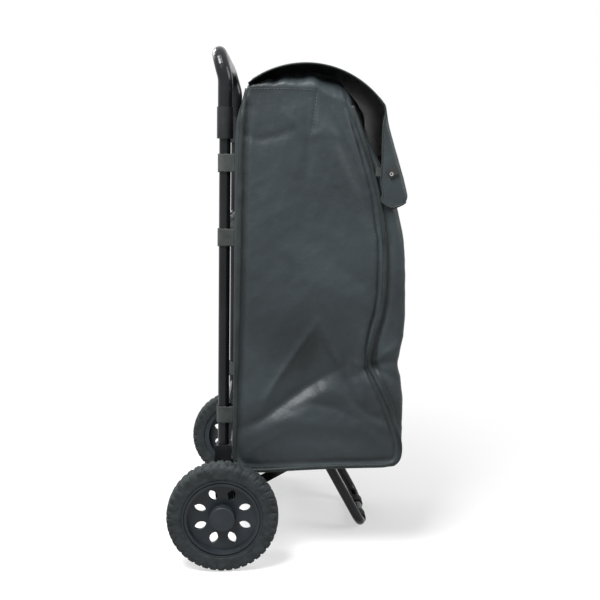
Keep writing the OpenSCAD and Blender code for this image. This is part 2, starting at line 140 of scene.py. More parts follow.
def grid_piece(name, points, wrap_rows=False, wrap_cols=False, fan=False, flip=False):
    """Mesh object from points[row, column] in millimetres. UV = cloth length along each way."""
    rows, cols = points.shape[:2]
    co = to_frame(points)
    quads, index = grid_faces(rows, cols, wrap_rows, wrap_cols)
    closed = np.concatenate([co, co[:, :1]], 1) if wrap_cols else co
    closed = np.concatenate([closed, closed[:1]], 0) if wrap_rows else closed
    u_run = np.concatenate([[0], np.cumsum(np.linalg.norm(np.diff(closed, axis=1), axis=2).mean(0))])
    v_run = np.concatenate([[0], np.cumsum(np.linalg.norm(np.diff(closed, axis=0), axis=2).mean(1))])
    uv = np.stack([u_run[index[..., 1]], v_run[index[..., 0]]], -1).reshape(-1, 2)
    verts = co.reshape(-1, 3)
    loops, sizes = quads.ravel(), np.full(len(quads), 4)
    if fan:
        first = np.arange(cols)
        nxt = (first + 1) % cols
        tri = np.stack([np.full(cols, len(verts)), nxt, first], 1)
        verts = np.vstack([verts, co[0].mean(0)])
        loops, sizes = np.concatenate([loops, tri.ravel()]), np.concatenate([sizes, np.full(cols, 3)])
        uv = np.vstack([uv, np.repeat(u_run[first], 3)[:, None] * [1, 0]])
    mesh = bpy.data.meshes.new(name)
    mesh.vertices.add(len(verts))
    mesh.vertices.foreach_set("co", verts.astype(np.float32).ravel())
    mesh.loops.add(len(loops))
    mesh.loops.foreach_set("vertex_index", loops.astype(np.int32))
    starts = np.concatenate([[0], np.cumsum(sizes)[:-1]])
    mesh.polygons.add(len(sizes))
    mesh.polygons.foreach_set("loop_start", starts.astype(np.int32))
    mesh.update(calc_edges=True)
    mesh.uv_layers.new(name="cloth").data.foreach_set("uv", uv.astype(np.float32).ravel())
    mesh.polygons.foreach_set("use_smooth", np.ones(len(sizes), bool))
    if flip:
        mesh.flip_normals()
    mesh.validate()
    made = bpy.data.objects.new(name, mesh)
    bpy.context.scene.collection.objects.link(made)
    print(f"{name}: {len(verts)} points, {len(sizes)} faces")
    return made


def thicken(piece, wall, offset=0.0):
    """Gives a sheet its thickness in metres, closed at its free edges."""
    solid = piece.modifiers.new("wall", "SOLIDIFY")
    solid.thickness, solid.offset, solid.use_rim = wall, offset, True
    return piece


# %% Tube helper
def sweep(path, across, outline):
    """Carries outline (side, out) along path: point = path + side * n + out * across,
    where across is the surface's outward direction and n is across x the path's direction."""
    path, across = np.asarray(path, float), np.asarray(across, float)
    along = np.gradient(path, axis=0)
    along /= np.linalg.norm(along, axis=1)[:, None]
    across = across - (across * along).sum(1)[:, None] * along
    across /= np.linalg.norm(across, axis=1)[:, None]
    n = np.cross(across, along)
    return path[:, None] + outline[None, :, :1] * n[:, None] + outline[None, :, 1:] * across[:, None]


def oval(half_w, half_h, sides):
    """Outline of a flattened tube: (half_w cos a, half_h sin a)."""
    a = np.linspace(0, 2 * np.pi, sides, endpoint=False)
    return np.stack([half_w * np.cos(a), half_h * np.sin(a)], 1)


def end_capped(rings):
    """Rings with both ends drawn in to a fiftieth of their size, which leaves a pinhole there."""
    first, last = rings[0].mean(0), rings[-1].mean(0)
    tip = lambda ring, middle, k: middle + (ring - middle) * k
    return np.concatenate([[tip(rings[0], first, 0.02)], [tip(rings[0], first, 0.7)], rings,
                           [tip(rings[-1], last, 0.7)], [tip(rings[-1], last, 0.02)]])


# %% [markdown]
# ## Finishes shared by several parts
# Weave, mottling and grain turn up on many parts, so each is a node group built once. A group
# puts out only a value that changes over the surface. The shader stays in each material,
# where its constant values are set on its own sockets.

# %% Node group helpers
def new_group(name, inputs, outputs):
    """An empty shader node group with named inputs (name, type, default) and outputs."""
    tree = bpy.data.node_groups.new(name, "ShaderNodeTree")
    for label, kind, default in inputs:
        socket = tree.interface.new_socket(label, in_out="INPUT", socket_type=kind)
        if default is not None:
            socket.default_value = default
    for label, kind in outputs:
        tree.interface.new_socket(label, in_out="OUTPUT", socket_type=kind)
    return tree, tree.nodes.new("NodeGroupInput"), tree.nodes.new("NodeGroupOutput")


def math_node(tree, operation, a, b=None):
    """A Math node whose inputs are sockets or plain numbers."""
    node = tree.nodes.new("ShaderNodeMath")
    node.operation = operation
    for slot, value in zip(node.inputs, (a, b)):
        if value is None:
            continue
        if isinstance(value, (int, float)):
            slot.default_value = value
        else:
            tree.links.new(value, slot)
    return node.outputs[0]


# %% The three shared groups
weave, g_in, g_out = new_group("thread_weave",
    [("Vector", "NodeSocketVector", None), ("Threads per metre", "NodeSocketFloat", 900.0)],
    [("Height", "NodeSocketFloat")])
parts = weave.nodes.new("ShaderNodeSeparateXYZ")
weave.links.new(g_in.outputs[0], parts.inputs[0])
turns = math_node(weave, "MULTIPLY", g_in.outputs[1], math.pi)
warp = math_node(weave, "SINE", math_node(weave, "MULTIPLY", parts.outputs[0], turns))
weft = math_node(weave, "SINE", math_node(weave, "MULTIPLY", parts.outputs[1], turns))
weave.links.new(math_node(weave, "MULTIPLY_ADD", math_node(weave, "MULTIPLY", warp, weft), 0.5),
    g_out.inputs[0])

mottle, g_in, g_out = new_group("soft_mottle",
    [("Vector", "NodeSocketVector", None), ("Scale", "NodeSocketFloat", 20.0),
    ("Low", "NodeSocketFloat", 0.35), ("High", "NodeSocketFloat", 0.65)], [("Mask", "NodeSocketFloat")])
cloud = mottle.nodes.new("ShaderNodeTexNoise")
cloud.inputs["Detail"].default_value = 5
mottle.links.new(g_in.outputs[0], cloud.inputs["Vector"])
mottle.links.new(g_in.outputs[1], cloud.inputs["Scale"])
ramp = mottle.nodes.new("ShaderNodeMapRange")
mottle.links.new(cloud.outputs[0], ramp.inputs[0])
mottle.links.new(g_in.outputs[2], ramp.inputs[1])
mottle.links.new(g_in.outputs[3], ramp.inputs[2])
mottle.links.new(ramp.outputs[0], g_out.inputs[0])

grain, g_in, g_out = new_group("fine_grain",
    [("Vector", "NodeSocketVector", None), ("Scale", "NodeSocketFloat", 900.0)],
    [("Height", "NodeSocketFloat")])
cells = grain.nodes.new("ShaderNodeTexVoronoi")
fuzz = grain.nodes.new("ShaderNodeTexNoise")
for node in (cells, fuzz):
    grain.links.new(g_in.outputs[0], node.inputs["Vector"])
    grain.links.new(g_in.outputs[1], node.inputs["Scale"])
grain.links.new(math_node(grain, "ADD", cells.outputs["Distance"], fuzz.outputs[0]), g_out.inputs[0])
print("node groups:", [g.name for g in bpy.data.node_groups])


# %% Material helper
def finish_of(name, dark, light, rough, mottling, relief, uv=False, **fixed):
    """Principled material. Colour runs from dark to light and roughness from rough[0] to
    rough[1] by a mottle mask; relief is a list of (group, size, depth in metres) bumps.
    fixed are constants set on the shader's own sockets."""
    material = bpy.data.materials.new(name)
    material.use_nodes = True
    tree = material.node_tree
    shader = tree.nodes["Principled BSDF"]
    place = tree.nodes.new("ShaderNodeTexCoord").outputs["Object"]
    cloth = tree.nodes.new("ShaderNodeUVMap").outputs[0] if uv else place
    mask = tree.nodes.new("ShaderNodeGroup")
    mask.node_tree = mottle
    tree.links.new(place, mask.inputs[0])
    mask.inputs[1].default_value, mask.inputs[2].default_value, mask.inputs[3].default_value = mottling
    tint = tree.nodes.new("ShaderNodeMix")
    tint.data_type = "RGBA"
    tint.inputs[6].default_value, tint.inputs[7].default_value = (*dark, 1), (*light, 1)
    tree.links.new(mask.outputs[0], tint.inputs[0])
    tree.links.new(tint.outputs[2], shader.inputs["Base Color"])
    polish = tree.nodes.new("ShaderNodeMapRange")
    polish.inputs[3].default_value, polish.inputs[4].default_value = rough
    tree.links.new(mask.outputs[0], polish.inputs[0])
    tree.links.new(polish.outputs[0], shader.inputs["Roughness"])
    normal = None
    for group, size, depth in relief:
        node = tree.nodes.new("ShaderNodeGroup")
        node.node_tree = group
        tree.links.new(cloth if group is weave else place, node.inputs[0])
        node.inputs[1].default_value = size
        bump = tree.nodes.new("ShaderNodeBump")
        bump.inputs["Distance"].default_value = depth
        tree.links.new(node.outputs[0], bump.inputs["Height"])
        if normal is not None:
            tree.links.new(normal, bump.inputs["Normal"])
        normal = bump.outputs[0]
    if normal is not None:
        tree.links.new(normal, shader.inputs["Normal"])
    for socket, value in fixed.items():
        shader.inputs[socket.replace("_", " ")].default_value = value
    return material


# %% [markdown]
# ## The finishes themselves
# Tubes are powder-coated steel: almost black, glossy, with a faint orange peel. Mouldings are
# satin with a fine spark-eroded grain. The bag is coated nylon, a dark grey with a slight
# green-blue cast whose coating gives broad soft highlights over a very fine weave.

# %% Make every finish
finishes = {
    "tube_black": finish_of("black_powder_coat", (0.0045, 0.005, 0.006), (0.010, 0.011, 0.013),
        (0.16, 0.28), (14, 0.35, 0.7), [(grain, 700, 0.00004)], Specular_IOR_Level=0.15,
        Coat_Weight=0.12, Coat_Roughness=0.12),
    "handle_black": finish_of("black_handle_coat", (0.0045, 0.005, 0.006), (0.010, 0.011, 0.013),
        (0.18, 0.30), (18, 0.35, 0.7), [(grain, 900, 0.00003)], Specular_IOR_Level=0.15,
        Coat_Weight=0.12, Coat_Roughness=0.15),
    "ferrule_black": finish_of("satin_black_moulding", (0.007, 0.008, 0.009), (0.015, 0.017, 0.019),
        (0.34, 0.48), (30, 0.35, 0.7), [(grain, 1600, 0.00006)], Specular_IOR_Level=0.2),
    "fastener": finish_of("black_oxide_steel", (0.020, 0.021, 0.022), (0.045, 0.046, 0.048),
        (0.30, 0.45), (60, 0.4, 0.65), [(grain, 2000, 0.00003)], Metallic=0.7),
    "axle_steel": finish_of("drawn_zinc_steel", (0.42, 0.43, 0.44), (0.58, 0.59, 0.60),
        (0.28, 0.42), (80, 0.35, 0.7), [(grain, 2500, 0.00002)], Metallic=1.0),
    "foot_rubber": finish_of("black_foot_rubber", (0.012, 0.012, 0.013), (0.028, 0.028, 0.028),
        (0.62, 0.80), (50, 0.35, 0.7), [(grain, 1400, 0.0001)], Specular_IOR_Level=0.2),
    "rim_plastic": finish_of("blue_black_rim_moulding", (0.010, 0.013, 0.016),
        (0.020, 0.026, 0.031), (0.34, 0.48), (22, 0.35, 0.7), [(grain, 1500, 0.00005)],
        Specular_IOR_Level=0.25),
    "tyre": finish_of("foam_tyre", (0.011, 0.014, 0.015), (0.030, 0.036, 0.039), (0.62, 0.82),
        (70, 0.35, 0.68), [(mottle, 160, 0.0004), (grain, 900, 0.0002)], Specular_IOR_Level=0.2),
    "bag_nylon": finish_of("coated_nylon", (0.014, 0.0185, 0.0205), (0.027, 0.035, 0.038),
        (0.38, 0.50), (7, 0.3, 0.7), [(mottle, 22, 0.0009), (weave, 1300, 0.00007)], uv=True,
        Specular_IOR_Level=0.25, Sheen_Weight=0.04, Sheen_Roughness=0.4),
    "webbing": finish_of("woven_webbing", (0.022, 0.027, 0.026), (0.044, 0.051, 0.049),
        (0.66, 0.82), (60, 0.3, 0.7), [(weave, 700, 0.0004)], uv=True, Specular_IOR_Level=0.2,
        Sheen_Weight=0.06),
    "clip_plastic": finish_of("gloss_black_clip", (0.012, 0.012, 0.013), (0.022, 0.023, 0.024),
        (0.14, 0.28), (60, 0.35, 0.7), [(grain, 1200, 0.00002)]),
    "eyelet": finish_of("pressed_eyelet_steel", (0.40, 0.41, 0.39), (0.56, 0.57, 0.55),
        (0.25, 0.40), (200, 0.35, 0.7), [(grain, 2500, 0.00003)], Metallic=1.0),
}
finishes["binding"] = finish_of("seam_binding_tape", (0.009, 0.012, 0.013), (0.022, 0.028, 0.029),
    (0.40, 0.54), (30, 0.3, 0.7), [(weave, 1000, 0.0002)], uv=True, Specular_IOR_Level=0.2)
finishes["thread"] = finish_of("sewing_thread", (0.040, 0.046, 0.046), (0.080, 0.088, 0.086),
    (0.55, 0.7), (400, 0.3, 0.7), [(grain, 4000, 0.00003)])
# The flap's underside: the same nylon made darker and less glossy, as painted shade for the shadow under the
# flap.
finishes["flap_lining"] = finish_of("dark_flap_lining", (0.005, 0.007, 0.008),
    (0.010, 0.013, 0.014), (0.50, 0.64), (9, 0.3, 0.7), [(weave, 1300, 0.00008)], uv=True,
    Specular_IOR_Level=0.1)
finishes["tab_webbing"] = finish_of("tab_webbing", (0.022, 0.027, 0.026), (0.044, 0.051, 0.049),
    (0.66, 0.82), (60, 0.3, 0.7), [(weave, 700, 0.0004)], Specular_IOR_Level=0.2, Sheen_Weight=0.06)

for part in frame["record"]["subparts"]:
    carried = frame["nodes"][part["node"]]
    carried.data.materials.clear()
    tab = part["node"].startswith("closure_tab")
    carried.data.materials.append(finishes["tab_webbing" if tab else part["material_slot"]])
print(len(finishes), "finishes")


def dress(piece, finish):
    """Gives a new piece its finish."""
    piece.data.materials.append(finishes[finish])
    return piece


# %% [markdown]
# ## The bag's outline
# Seen from the side the bag is a tall box whose back follows the leaning frame. Its front is
# straight up to the level of the flap and then slopes back to the mouth. The fabric is cut in
# a side panel, a front panel that wraps round the corner, and a back panel. Each level of the
# bag is a rounded rectangle between a point on the back line and a point on the front line.

# %% Back and front lines, in millimetres (x, z)
BACK = smooth_line([(31, 146.4), (19, 151), (14.2, 163), (14.6, 200), (17.0, 320), (19.6, 440),
    (22.4, 570), (25.0, 648), (34, 680), (42.4, 701.5)], 150)
FRONT = smooth_line([(254, 150.6), (264, 154), (267.5, 166), (267, 200), (267.5, 250), (262.5, 305),
    (268, 357), (268.5, 405), (266, 470), (261, 505), (246, 557), (217, 617), (188, 677)], 150)
TOP_EDGE = smooth_line([(30, 702), (60, 702.5), (100, 702), (134, 700), (146, 694), (160, 686),
    (188, 677), (210, 674)], 60)
SEAM_BACK = [(42, 697), (36, 670), (31.5, 620), (30.0, 560), (27.6, 470), (25.5, 402), (21.5, 290),
    (17.4, 185)]
SEAM_LOW = [(17.4, 164), (22, 152), (33, 145.2), (60, 143.6), (115, 146.6), (182, 149),
    (246, 150.2), (258, 153.5), (263.5, 165)]
SEAM_FRONT = [(263.5, 184), (256, 212), (244, 245), (228, 280), (217, 302), (218, 325),
    (222.5, 348), (231, 380), (235, 408), (236, 450), (234.8, 488), (225.5, 553), (205, 622), (187.5, 674)]
HALF_W = 163.6
print("back line", BACK[0], "to", BACK[-1], "front line", FRONT[0], "to", FRONT[-1])


# %% [markdown]
# ## Folds in coated nylon
# Coated nylon doesn't hang in soft waves: it creases along straight lines and stays nearly
# flat between them. So a fold is a line with a width, and its depth falls off from the line:
# gently for a soft roll, sharply for a crease. The folds that make this bag's character are
# placed one by one, and a field of small creases is laid over all of it.

# %% Fold helpers
def line_distance(x, z, line):
    """Distance of each (x, z) from a polyline, and how far along it the nearest point is, 0 to 1."""
    a, b = np.array(line[:-1], float), np.array(line[1:], float)
    best, where = np.full(x.shape, 1e9), np.zeros(x.shape)
    for i, (p, q) in enumerate(zip(a, b)):
        d = q - p
        t = np.clip(((x - p[0]) * d[0] + (z - p[1]) * d[1]) / (d @ d), 0, 1)
        away = np.hypot(x - p[0] - t * d[0], z - p[1] - t * d[1])
        nearer = away < best
        best, where = np.where(nearer, away, best), np.where(nearer, (i + t) / len(a), where)
    return best, where


def fold(x, z, line, depth, width, sharp=1.0):
    """Depth times exp(-(distance / width)^(2 - sharp)), fading to nothing at the line's ends."""
    d, t = line_distance(x, z, line)
    fade = np.clip(np.sin(np.pi * np.clip(0.06 + 0.88 * t, 0, 1)), 0, 1) ** 0.6
    return depth * fade * np.exp(-((d / width) ** (2 - sharp)))


def crumple(x, z, seed, size):
    """Small creases: the sum of 1 - |sin| ridges in six directions, each bent by a slow wave."""
    rng = np.random.default_rng(seed)
    total = np.zeros(np.shape(x))
    for k in range(6):
        angle, phase, bend = rng.uniform(0, np.pi), rng.uniform(0, 6.28), rng.uniform(0, 6.28)
        length = size * rng.uniform(0.7, 1.6)
        u = np.cos(angle) * x + np.sin(angle) * z
        v = -np.sin(angle) * x + np.cos(angle) * z
        wave = u / length * np.pi + phase + 1.3 * np.sin(v / (2.3 * size) + bend)
        total += (1 - np.abs(np.sin(wave))) ** 2 * (0.5 + 0.5 * np.sin(v / (1.7 * size) + 2 * bend))
    return total / 3 - 0.35


# %% The side panel's folds
SIDE_FOLDS = [
    ([(141, 371), (100, 310), (62, 251)], 5.5, 6, 0.8),
    ([(141, 371), (160, 327), (180, 290)], 5.5, 6, 0.8),
    ([(141, 352), (132, 300), (110, 268)], -5.5, 24, 0.2),
    ([(26, 207), (60, 222), (100, 250), (140, 276), (172, 296)], -8.0, 11, 0.6),
    ([(40, 196), (100, 228), (150, 262)], 3.0, 14, 0.3),
    ([(180, 314), (184, 278), (196, 246), (218, 227), (246, 217)], -7.0, 9, 0.7),
    ([(206, 350), (209, 297), (207, 246)], 5.0, 9, 0.8),
    ([(192, 330), (196, 290), (205, 262)], -3.5, 8, 0.6),
    ([(92, 229), (131, 246), (166, 238), (204, 220)], -3.6, 8, 0.7),
    ([(95, 222), (140, 214), (200, 208)], 2.4, 12, 0.3),
    ([(30, 640), (56, 627), (80, 632), (110, 643)], -2.2, 5, 0.8),
    ([(124, 655), (126, 632), (126, 600), (122, 560)], -3.0, 10, 0.6),
    ([(126, 632), (150, 640), (172, 632)], 2.2, 7, 0.7),
    ([(126, 632), (104, 652), (86, 672)], 1.6, 8, 0.6),
    ([(150, 676), (176, 630), (205, 560), (222, 500)], -5.0, 11, 0.5),
    ([(161, 668), (187, 616), (212, 556)], 3.4, 7, 0.6),
    ([(140, 664), (160, 618), (186, 560), (210, 480)], 2.8, 13, 0.3),
    ([(60, 560), (66, 500), (58, 430)], 1.8, 20, 0.2),
    ([(126, 560), (118, 500), (124, 430)], -2.2, 18, 0.3),
    ([(88, 470), (104, 440), (96, 410)], -2.4, 12, 0.5),
    ([(150, 470), (180, 440), (212, 420)], -2.6, 16, 0.4),
    ([(40, 330), (52, 280), (44, 220)], 2.2, 14, 0.3),
    ([(70, 172), (140, 176), (220, 170)], 2.0, 14, 0.2),
    ([(34, 168), (60, 188), (92, 206)], 1.8, 6, 0.8),
    ([(262, 172), (240, 196), (214, 212)], -2.0, 6, 0.8),
]
STAR = [([(217, 302), (240, 322), (262, 336)], 3.2, 6, 0.8),
    ([(217, 302), (240, 306), (264, 312)], -2.6, 6, 0.8),
        ([(217, 302), (236, 284), (258, 250)], 3.0, 7, 0.8), ([(217, 302), (198, 304), (186, 312)],
            2.6, 5, 0.9),
        ([(217, 302), (202, 288), (186, 282)], -2.2, 5, 0.9), ([(217, 300), (244, 290), (266, 276)],
            -2.4, 6, 0.8)]


def side_relief(x, z, side):
    """How far the side panel stands out from its plane, in millimetres. The left side is a
    softer version of the right one, with its folds a little lower."""
    share, drop = (1.0, 0.0) if side < 0 else (0.7, 14.0)
    zz = z + drop * np.sin(z / 90)
    out = 1.6 * np.exp(-(((x - 140) / 90) ** 2 + ((z - 430) / 120) ** 2))
    out -= 11.5 * np.exp(-(((x - 118) / 74) ** 2 + ((z - 292) / 46) ** 2))
    out -= 3.0 * np.exp(-(((x - 150) / 70) ** 2 + ((z - 500) / 60) ** 2))
    for line, depth, width, sharp in SIDE_FOLDS + STAR:
        out += share * fold(x, zz, line, depth, width, sharp)
    out += 1.5 * crumple(x, zz, 3 + (side > 0), 46) + 0.8 * crumple(x, zz, 11 + (side > 0), 21)
    seam, _ = line_distance(x, z, SEAM_BACK[1:] + SEAM_LOW + SEAM_FRONT)
    out -= 4.4 * np.exp(-((seam - 6.5) / 4.5) ** 2) - 0.8 * np.exp(-(seam / 4.0) ** 2)
    out -= share * 9.0 * np.exp(-(((x - 219) / 15) ** 2 + ((z - 300) / 20) ** 2))
    hem, _ = line_distance(x, z, [(46, 702), (100, 702), (136, 700)])
    out = out * (1 - 0.85 * np.exp(-(hem / 9) ** 2)) + 0.5 * np.exp(-(hem / 7) ** 4)
    out -= 0.9 * np.exp(-(line_distance(x, z, [(138, 696), (133, 640)])[0] / 2.5) ** 2)
    return np.clip(out, -19, 2.6) * smoothstep(z, 146, 162)


def front_relief(y, z):
    """How far the front panel stands out: pinched at the two side folds, with long creases."""
    a = np.abs(y)
    out = -3.0 * np.exp(-((z - 304) / 16) ** 2) * (0.3 + 0.7 * smoothstep(a, 40, 150))
    out += fold(y, z, [(-150, 332), (-60, 300), (20, 282)], -3.0, 9, 0.6) + fold(y, z,
        [(150, 326), (70, 304), (10, 300)], -2.6, 9, 0.6)
    out += fold(y, z, [(-110, 470), (-40, 440), (60, 452)], -2.2, 16, 0.4) + fold(y, z,
        [(-60, 230), (20, 216), (110, 240)], -2.2, 12, 0.5)
    out += fold(y, z, [(-140, 560), (-70, 600), (-20, 660)], -2.2, 10, 0.6) + fold(y, z,
        [(140, 560), (70, 600), (20, 660)], -2.0, 10, 0.6)
    out += 1.3 * crumple(y, z, 21, 44) + 0.7 * crumple(y, z, 22, 20)
    puff = 19 * np.exp(-((z - 668) / 26) ** 2) * smoothstep(a, 158, 70)
    return (np.clip(out, -6, 1.6) + puff) * smoothstep(z, 150, 164)


def back_relief(y, z):
    """The back panel is drawn flat by its straps, with shallow creases between them."""
    out = 0.9 * crumple(y, z, 31, 52) - 1.2 * np.exp(-((np.abs(y) - 138) / 12) ** 2)
    return np.clip(out, -2.4, 1.0) * smoothstep(z, 150, 170)


# %% [markdown]
# ## The bag as one shell
# A bag is sewn from flat panels, but what one sees is one skin, so it is one grid: the floor,
# the walls, the hem and the gathered collar, all in a single sheet with an open mouth. Columns
# run round the outline and rows run up it. The wall's thickness is added at the end.

# %% Columns round the rounded rectangle
def round_outline(back_r, front_r):
    """Columns round the bag. Depth = a + b * D and y are fixed for each column, where D is the
    level's own depth; (nx, ny) is the outline's outward direction."""
    a, b, y, nx, ny = [], [], [], [], []

    def straight(n, a0, a1, b0, b1, y0, y1, normal):
        t = np.linspace(0, 1, n, endpoint=False)
        a.append(a0 + (a1 - a0) * t), b.append(b0 + (b1 - b0) * t), y.append(y0 + (y1 - y0) * t)
        nx.append(np.full(n, normal[0])), ny.append(np.full(n, normal[1]))

    def corner(n, r, at_front, side, start, end):
        t = np.radians(np.linspace(start, end, n, endpoint=False))
        a.append((-r if at_front else r) + r * np.cos(t)), b.append(np.full(n, float(at_front)))
        y.append(side * (HALF_W - r) + r * np.sin(t)), nx.append(np.cos(t)), ny.append(np.sin(t))

    w_back, w_front = HALF_W - back_r, HALF_W - front_r
    straight(22, 0, 0, 0, 0, 0, -w_back, (-1, 0))
    corner(6, back_r, False, -1, 180, 270)
    straight(84, back_r, -front_r, 0, 1, -HALF_W, -HALF_W, (0, -1))
    corner(10, front_r, True, -1, 270, 360)
    straight(70, 0, 0, 1, 1, -w_front, w_front, (1, 0))
    corner(10, front_r, True, 1, 0, 90)
    straight(84, -front_r, back_r, 1, 0, HALF_W, HALF_W, (0, 1))
    corner(6, back_r, False, 1, 90, 180)
    straight(22, 0, 0, 0, 0, w_back, 0, (-1, 0))
    return [np.concatenate(v) for v in (a, b, y, nx, ny)]


BACK_R, FRONT_R = 8.0, 12.0
OUT_A, OUT_B, OUT_Y, OUT_NX, OUT_NY = round_outline(BACK_R, FRONT_R)
print("columns:", len(OUT_Y))


# %% Walls
def top_lift(x):
    """How far the real top edge stands above the straight line between its two ends."""
    line = BACK[-1, 1] + (x - BACK[-1, 0]) * (FRONT[-1, 1] - BACK[-1, 1]) / (FRONT[-1, 0] - BACK[-1, 0])
    return np.interp(x, TOP_EDGE[:, 0], TOP_EDGE[:, 1]) - line


def walls():
    """wall[row, column] = back + (front - back) * depth share, then moved out by the relief."""
    span = FRONT - BACK
    depth = np.linalg.norm(span, axis=1)
    share = (OUT_A[None] + OUT_B[None] * depth[:, None]) / depth[:, None]
    x = BACK[:, :1] + span[:, :1] * share
    z = BACK[:, 1:] + span[:, 1:] * share
    rise = np.linspace(0, 1, len(BACK))[:, None]
    z = z + top_lift(x) * smoothstep(rise, 0.86, 1.0)
    y = np.broadcast_to(OUT_Y, x.shape)
    nx, ny = OUT_NX[None], OUT_NY[None]
    move = ny**2 * np.where(ny < 0, side_relief(x, z, -1), side_relief(x, z, 1))
    move = move + np.clip(nx, 0, 1) ** 2 * front_relief(y, z) + np.clip(-nx, 0, 1) ** 2 * back_relief(y, z)
    tuck = smoothstep(rise, 0.0, 0.03)
    return np.stack([x + nx * move * tuck, y + ny * move * tuck, z], -1)


# %% Floor and collar
ARCH_X, ARCH_Z, ARCH_R = 122.821, 597.786, 134.0


def arch_z(x, r):
    """Height of the flap's arch of radius r above x."""
    return ARCH_Z + np.sqrt(np.clip(r * r - (x - ARCH_X) ** 2, 1, None))


def floor_rows(low):
    """Rings from near the floor's middle out to the lowest wall ring: middle + (ring - middle) * q."""
    middle = low.mean(0)
    q = np.array([0.02, 0.2, 0.4, 0.6, 0.75, 0.86, 0.93, 0.97])[:, None, None]
    rings = middle + (low - middle) * q
    rings[..., 2] = 147.4 + 0.5 * crumple(rings[..., 0], rings[..., 1], 41, 60)
    return rings


def collar_rows(top):
    """The gathered collar: it runs in from the hem to the mouth and puffs up under the flap.
    In-run = w^1.2, height = the room under the flap times sin(0.62 pi w), with gathers added."""
    w = np.linspace(0, 1, 24)[1:, None]
    x0, y0, z0 = top[..., 0], top[..., 1], top[..., 2]
    run = w**1.2
    mouth_x = np.clip(x0, 79, 156)
    mouth_y = y0 * 103 / HALF_W
    x, y = x0 + (mouth_x - x0) * run, y0 + (mouth_y - y0) * run
    room = np.minimum(arch_z(x, ARCH_R - 2) - 4.5, 727) - z0
    step = np.linalg.norm(np.diff(np.vstack([top[:, :2], top[:1, :2]]), axis=0), axis=1)
    run_round = np.concatenate([[0], np.cumsum(step)[:-1]])[None]
    bend = run_round + 7 * np.sin(run_round / 31) + 5 * w * np.sin(run_round / 13)
    pleats = (np.abs(np.sin(bend / 12.5)) ** 1.5 - 0.5) + 0.5 * (np.abs(np.sin(bend / 7.3 + 1)) - 0.6)
    z = z0 + np.clip(room, 0, None) * (np.sin(0.62 * np.pi * w) ** 0.8) * 0.86
    lift = pleats * (1.2 + 3.4 * np.sin(0.5 * np.pi * w)) * smoothstep(room, 1, 12)
    at_side = np.sign(y) * smoothstep(np.abs(y0), 140, 160)
    outward = at_side * np.sin(np.pi * np.clip(w, 0, 1)) * (0.8 + 1.6 * pleats)
    z = np.minimum(z + lift, arch_z(x, ARCH_R - 2) - 2.2)
    return np.stack([x, y + outward, z], -1)


wall_rings = walls()
bag_grid = np.concatenate([floor_rows(wall_rings[0]), wall_rings, collar_rows(wall_rings[-1])])
bag = dress(grid_piece("bag_shell", bag_grid, wrap_cols=True, fan=True), "bag_nylon")
thicken(bag, 0.0009, -1.0)
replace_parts(bag, "bag_side_left", "bag_side_right", "bag_front", "bag_back", "bag_floor", "bag_collar")
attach(bag, "frame")

# %% [markdown]
# ## Bound seams
# The side panels are joined to the rest with a folded tape about 7 mm wide that stands up
# along the seam. It is an oval carried along the seam's line, which lies on the side panel.

# %% Seam binding
def on_side(line, side, lift=0.0):
    """Points of a side-view line laid on the bag's side: |y| = half width + relief + lift."""
    x, z = line[:, 0], line[:, 1]
    back = np.interp(z, BACK[:, 1], BACK[:, 0])
    front = np.interp(z, FRONT[:, 1], FRONT[:, 0])
    edge, near = np.clip(x - back, 0, BACK_R), np.clip(front - x, 0, FRONT_R)
    back_inset = BACK_R - np.sqrt(BACK_R**2 - (BACK_R - edge) ** 2)
    front_inset = FRONT_R - np.sqrt(FRONT_R**2 - (FRONT_R - near) ** 2)
    y = HALF_W + side_relief(x, z, side) - np.clip(back_inset + front_inset, 0, 9) + lift
    return np.stack([x, side * y, z], 1)


def binding(side):
    """An oval 6.6 mm wide and 4 mm high, carried along the seam of one side."""
    line = smooth_line(SEAM_BACK + SEAM_LOW + SEAM_FRONT, 420)
    path = on_side(line, side)
    path[:, 1] = np.convolve(np.pad(path[:, 1], 3, "edge"), np.ones(7) / 7, "valid")
    name = "seam_binding_right" if side < 0 else "seam_binding_left"
    rings = end_capped(sweep(path, np.tile([0, side, 0], (len(path), 1)), oval(3.3, 2.0, 10)))
    made = grid_piece(name, rings, wrap_cols=True, flip=side < 0)
    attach(dress(made, "binding"), "frame")
    return path


seam_right, seam_left = binding(-1), binding(1)


# %% [markdown]
# ## Stitches
# Each stitch is a small spindle of thread with few faces, because dozens of them lie side by side.
# All of them are worked out together: one spindle's points, carried to every place at once.

